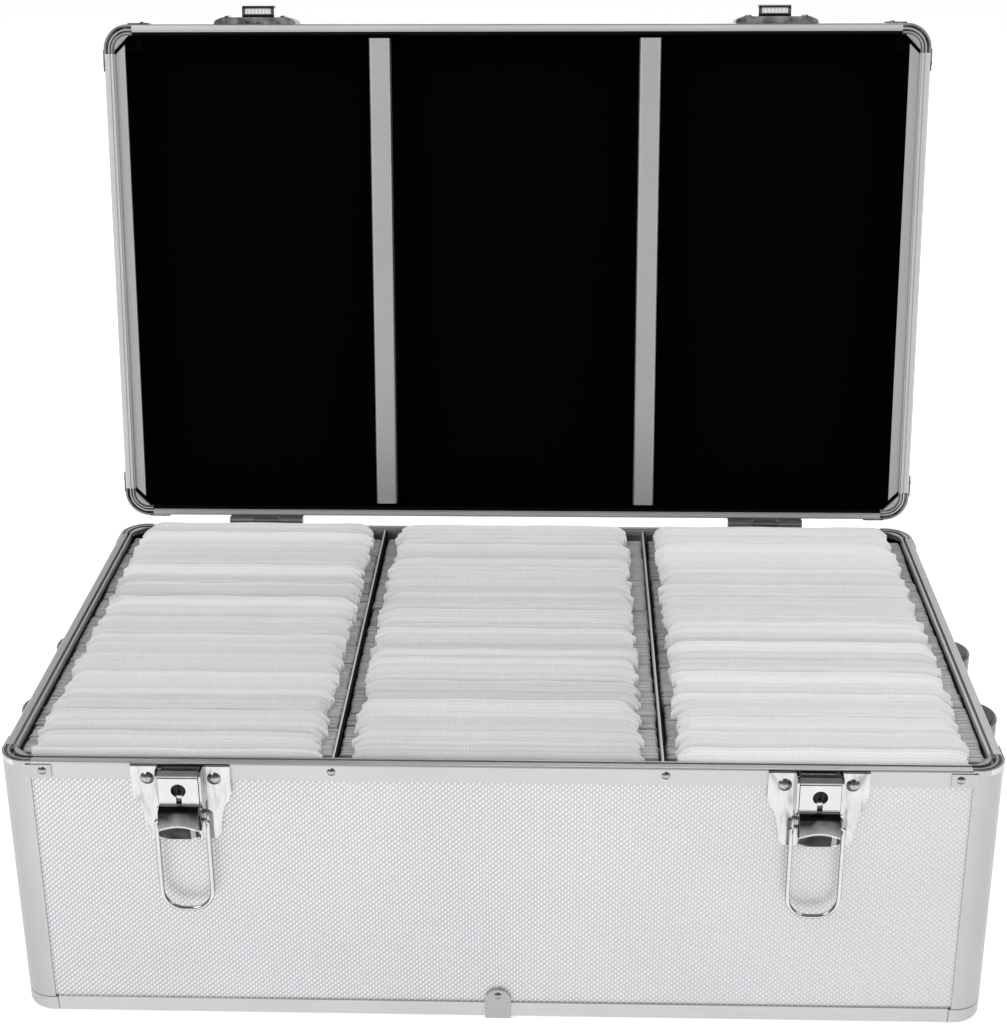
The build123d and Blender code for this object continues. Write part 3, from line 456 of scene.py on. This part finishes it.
# Each row hangs from about 165 grey plastic bars that lie side by side across the rails. Only their ends show,
# in small groups that were pushed a little to one side, each with its end turned down.
ROWS = {"left": (-0.2424, -0.0834), "middle": (-0.0806, 0.0806), "right": (0.0834, 0.2424)}
BARS, FRONT_BAR, BACK_BAR, BAR_LOW, BAR_TOP = 165, -0.1375, 0.1375, 0.1413, 0.1468
BAR_FILL, GAP_IN_GROUP, GAP_AT_GROUP, GROUP_SHADOW = 0.94, 0.06, 0.3, 0.35
END_PLAY, END_BEVEL, END_ROUND, END_SHOWS = 0.0006, 0.0004, 0.0011, 0.0032
END_HIGHLIGHT, LEFT_END_SHADE, RIGHT_END_LIGHT = 0.3, -0.16, 0.10

hanger_plastic, inputs, field = new_finish("grey_hanger_plastic", Specular_IOR_Level=0.4)
place = field.node("TexCoord", out="Object")
bar_tone = field.node("SeparateColor", {0: field.node("VertexColor", out="Color", layer_name="tone")}, out="Red")
speck = field.node("TexNoise", {"Vector": place, "Scale": 400.0, "Detail": 3.0})
(bar_tone + (speck - 0.5) * 0.25).tint(grey(0.08), (0.46, 0.46, 0.47, 1)).to(inputs["Base Color"])
(0.45 + (speck - 0.5) * 0.2).to(inputs["Roughness"])
field.node("Bump", {"Height": speck, "Distance": 0.0001, "Strength": 0.3}).to(inputs["Normal"])


def toned_mesh(name, points, faces, tones, smooth):
    mesh = bpy.data.meshes.new(name)
    mesh.from_pydata(points, [], faces)
    layer = mesh.color_attributes.new("tone", "FLOAT_COLOR", "POINT")
    for spot, tone in zip(layer.data, tones):
        spot.color = grey(tone)
    mesh.polygons.foreach_set("use_smooth", [smooth] * len(mesh.polygons))
    return mesh


def add_piece(name, mesh, material, body, replaced):
    piece = bpy.data.objects.new(name, mesh)
    scene.collection.objects.link(piece)
    mesh.materials.append(material)
    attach(piece, body)
    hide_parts(replaced)
    return piece


def hanger_bars(row, seed):
    low_x, high_x = ROWS[row]
    middle, half = (low_x + high_x) / 2, 0.5 * (high_x - low_x)
    chance = random.Random(seed)
    step = (BACK_BAR - FRONT_BAR) / BARS
    points, faces, tones = [], [], []
    group = 0
    for number in range(BARS):
        starts_group = group == 0
        if starts_group:
            group = chance.randint(3, 26)
            shift = chance.uniform(-0.0005, 0.0005)
            group_tone = chance.uniform(0.45, 0.72)
            drop = chance.uniform(0.0, 0.0003)
        gap = GAP_AT_GROUP if starts_group else GAP_IN_GROUP
        group -= 1
        near = FRONT_BAR + step * (number + gap * chance.random())
        far = FRONT_BAR + step * (number + BAR_FILL)
        lean = chance.uniform(-0.0002, 0.0002)
        jog = shift + chance.gauss(0, 0.00030)
        top = BAR_TOP - drop - chance.uniform(0, 0.00035)
        tone = group_tone + chance.uniform(-0.16, 0.16) - (GROUP_SHADOW if starts_group else 0)
        ends = []
        for end, inward in ((low_x + END_PLAY + jog, 1), (high_x - END_PLAY + jog, -1)):
            end = min(max(end, low_x), high_x)
            ends.append([(end, BAR_LOW + 0.0002), (end, top - END_ROUND),
                         (end + inward * END_BEVEL, top - 0.0003), (end + inward * END_ROUND, top)])
        ring = ends[0] + ends[1][::-1]
        first = len(points)
        for y in (near, far):
            for x, z in ring:
                points.append((x, y + lean * (z - BAR_LOW) / 0.005, z))
                # Painted light and shade: each bar's left end is darker and its right end lighter, the rounded top of
                # each end gets a painted highlight, and the first bar of a group is darker, as painted shade between
                # groups.
                turned_down = z > top - 0.0012 and abs(x - middle) > half - END_SHOWS
                side_light = LEFT_END_SHADE if x < middle else RIGHT_END_LIGHT
                tones.append(tone + side_light + (END_HIGHLIGHT if turned_down else 0.0))
        count = len(ring)
        for i in range(count):
            j = (i + 1) % count
            faces.append((first + i, first + j, first + count + j, first + count + i))
        faces.append(tuple(first + i for i in reversed(range(count))))
        faces.append(tuple(first + count + i for i in range(count)))
    return toned_mesh("bars_" + row, points, faces, tones, False)


for seed, row in enumerate(ROWS):
    add_piece("hanger_bars_" + row, hanger_bars(row, 11 + seed), hanger_plastic, "row_" + row,
              "hangers_" + row)


# The sleeves are soft white non-woven pockets, one folded over each bar and hanging to the floor. Packed this
# tightly they lean on each other in loose groups, with soft shoulders and ragged, feathered side edges.
SLEEVE_SIDES = {"left": (-0.2324, -0.0910), "middle": (-0.0716, 0.0694), "right": (0.0910, 0.2324)}
SLEEVE_FLOOR, FRONT_SLEEVE, BACK_SLEEVE, SLEEVE_BACK_LIMIT = 0.0100, -0.1440, 0.1440, 0.1449
SLEEVE_LENGTH, SEAMS_OF_WIDTH = 0.145, 0.0050
STRAIGHT_TO, LOWEST_TOP, SHOULDER_EDGE, SHOULDER_REACH = 0.1440, 0.1485, 0.1496, 0.008
SIDE_OUT, EDGE_SPREAD, PULLED_OUT, PUSHED_IN = 0.0012, 0.0012, 0.0022, 0.0026
SHADE_BELOW, SHADE_AT_FOLD, SHADE_OF_GROUP, TICK_PITCH = 0.35, 0.12, 0.14, 0.0017
FABRIC_SHADE, FABRIC_WHITE = (0.38, 0.38, 0.40, 1), (0.97, 0.97, 0.98, 1)

white_fabric, inputs, field = new_finish("white_non_woven", Sheen_Weight=0.25, Sheen_Roughness=0.6,
                                         Specular_IOR_Level=0.1)
place = field.node("TexCoord", out="Object")
sleeve_tone = field.node("SeparateColor", {0: field.node("VertexColor", out="Color", layer_name="tone")}, out="Red")
long_fibres = field.node("VectorMath", {0: place, 1: (700, 60, 700)}, operation="MULTIPLY")
fibre = field.node("TexNoise", {"Vector": long_fibres, "Scale": 1.0, "Detail": 4.0})
stipple = field.node("TexNoise", {"Vector": place, "Scale": 620.0, "Detail": 2.0})
cloud = field.node("TexNoise", {"Vector": place, "Scale": 26.0, "Detail": 3.0})
weave = fibre * 0.5 + stipple * 0.3 + cloud * 0.2
[x] = axes(field, place, "X")
ticks = (x * (FULL_TURN / TICK_PITCH)).math("COSINE") * (cloud > 0.55) * 0.05
(sleeve_tone + (weave - 0.5) * 0.35 + ticks).tint(FABRIC_SHADE, FABRIC_WHITE).to(inputs["Base Color"])
(0.82 + (fibre - 0.5) * 0.2).to(inputs["Roughness"])
field.node("Bump", {"Height": weave, "Distance": 0.0003, "Strength": 0.35}).to(inputs["Normal"])


def within(low, high, value):
    return max(low, min(high, value))


def hanging_sleeves(row, seed):
    low_x, high_x = SLEEVE_SIDES[row]
    chance = random.Random(seed)
    step = (BACK_SLEEVE - FRONT_SLEEVE) / BARS
    middle_columns = 9
    shoulder = (0.0, 0.0008, 0.0018, 0.0032, 0.0050, 0.0080, 0.0140)
    hanging, bent = (SLEEVE_FLOOR, 0.10, STRAIGHT_TO), 3
    points, faces, tones = [], [], []
    area = left = right = 0.0
    group = 0
    for number in range(BARS):
        y0 = FRONT_SLEEVE + step * (number + 0.5)
        starts_group = group == 0
        if starts_group:
            group = chance.randint(2, 9)
            height = chance.uniform(0.1531, 0.1543)
            # Painted light: groups in the right row are 0.13 lighter, and groups towards the back up to 0.10 lighter.
            group_tone = chance.uniform(0.72, 0.84) + (0.13 if low_x > 0 else 0.0) + 0.10 * max(0.0, y0 / BACK_SLEEVE)
            drift_left, drift_right = chance.uniform(-0.0008, 0.0010), chance.uniform(-0.0008, 0.0010)
            phase = chance.uniform(0, 6.28)
            lean = chance.uniform(0.0004, 0.0016)
        group -= 1
        left += (drift_left - left) * 0.6 + chance.gauss(0, EDGE_SPREAD)
        right += (drift_right - right) * 0.6 + chance.gauss(0, EDGE_SPREAD)
        x_low = low_x - SIDE_OUT + within(-PULLED_OUT, PUSHED_IN, left)
        x_high = high_x + SIDE_OUT - within(-PULLED_OUT, PUSHED_IN, right)
        rise = min(1.0, 0.35 + (y0 - FRONT_SLEEVE) / 0.012)
        top = LOWEST_TOP + (height - LOWEST_TOP) * rise + within(-0.0007, 0.0005, chance.gauss(0, 0.00045))
        tone = group_tone + chance.uniform(-0.07, 0.07) - (SHADE_OF_GROUP if starts_group else 0.0)
        columns = [x_low + s for s in shoulder]
        inner = x_high - x_low - 2 * shoulder[-1]
        columns += [x_low + shoulder[-1] + inner * k / middle_columns for k in range(1, middle_columns)]
        columns += [x_high - s for s in reversed(shoulder)]
        first, count = len(points), len(columns)
        tips = (chance.uniform(-0.0020, 0.0018), chance.uniform(-0.0020, 0.0018))
        for level in range(len(hanging) + bent):
            for x in columns:
                from_edge = min(x - x_low, x_high - x)
                tip = tips[0] if x - x_low < x_high - x else tips[1]
                crown = top - (top - SHOULDER_EDGE + tip) * max(0.0, 1 - from_edge / SHOULDER_REACH) ** 2.0
                ripple = 0.00018 * math.sin(x * 95 + phase) + 0.00010 * math.sin(x * 233 + 1.7 * phase)
                crown += ripple * 0.9
                # Painted shade: the hanging part below the fold, the first bend and each group's first sleeve are
                # darker; the sleeve is a little lighter within 5 mm of its side edges.
                shade = tone + 0.05 * max(0.0, 1 - from_edge / 0.005)
                if level < len(hanging):
                    z = hanging[level]
                    y = y0 + ripple * (0.3 + 0.35 * level)
                    shade -= SHADE_BELOW
                else:
                    up = (level - len(hanging) + 1) / bent
                    z = STRAIGHT_TO + (crown - STRAIGHT_TO) * (1 - (1 - up) ** 1.6)
                    y = y0 + ripple + lean * up * up * (0.6 + 0.4 * min(1.0, from_edge / 0.02))
                    shade -= SHADE_AT_FOLD if level == len(hanging) else 0.0
                points.append((x, min(y, SLEEVE_BACK_LIMIT), z))
                tones.append(shade)
        for level in range(len(hanging) + bent - 1):
            for k in range(count - 1):
                a = first + level * count + k
                faces.append((a, a + 1, a + 1 + count, a + count))
        area += (x_high - x_low) * (top - SLEEVE_FLOOR)
    return toned_mesh("sleeves_of_" + row, points, faces, tones, True), high_x - low_x + SEAMS_OF_WIDTH, area


for seed, row in enumerate(SLEEVE_SIDES):
    mesh, width, area = hanging_sleeves(row, 31 + seed)
    cloth = add_piece("sleeve_stack_" + row, mesh, white_fabric, "row_" + row, "sleeves_" + row)
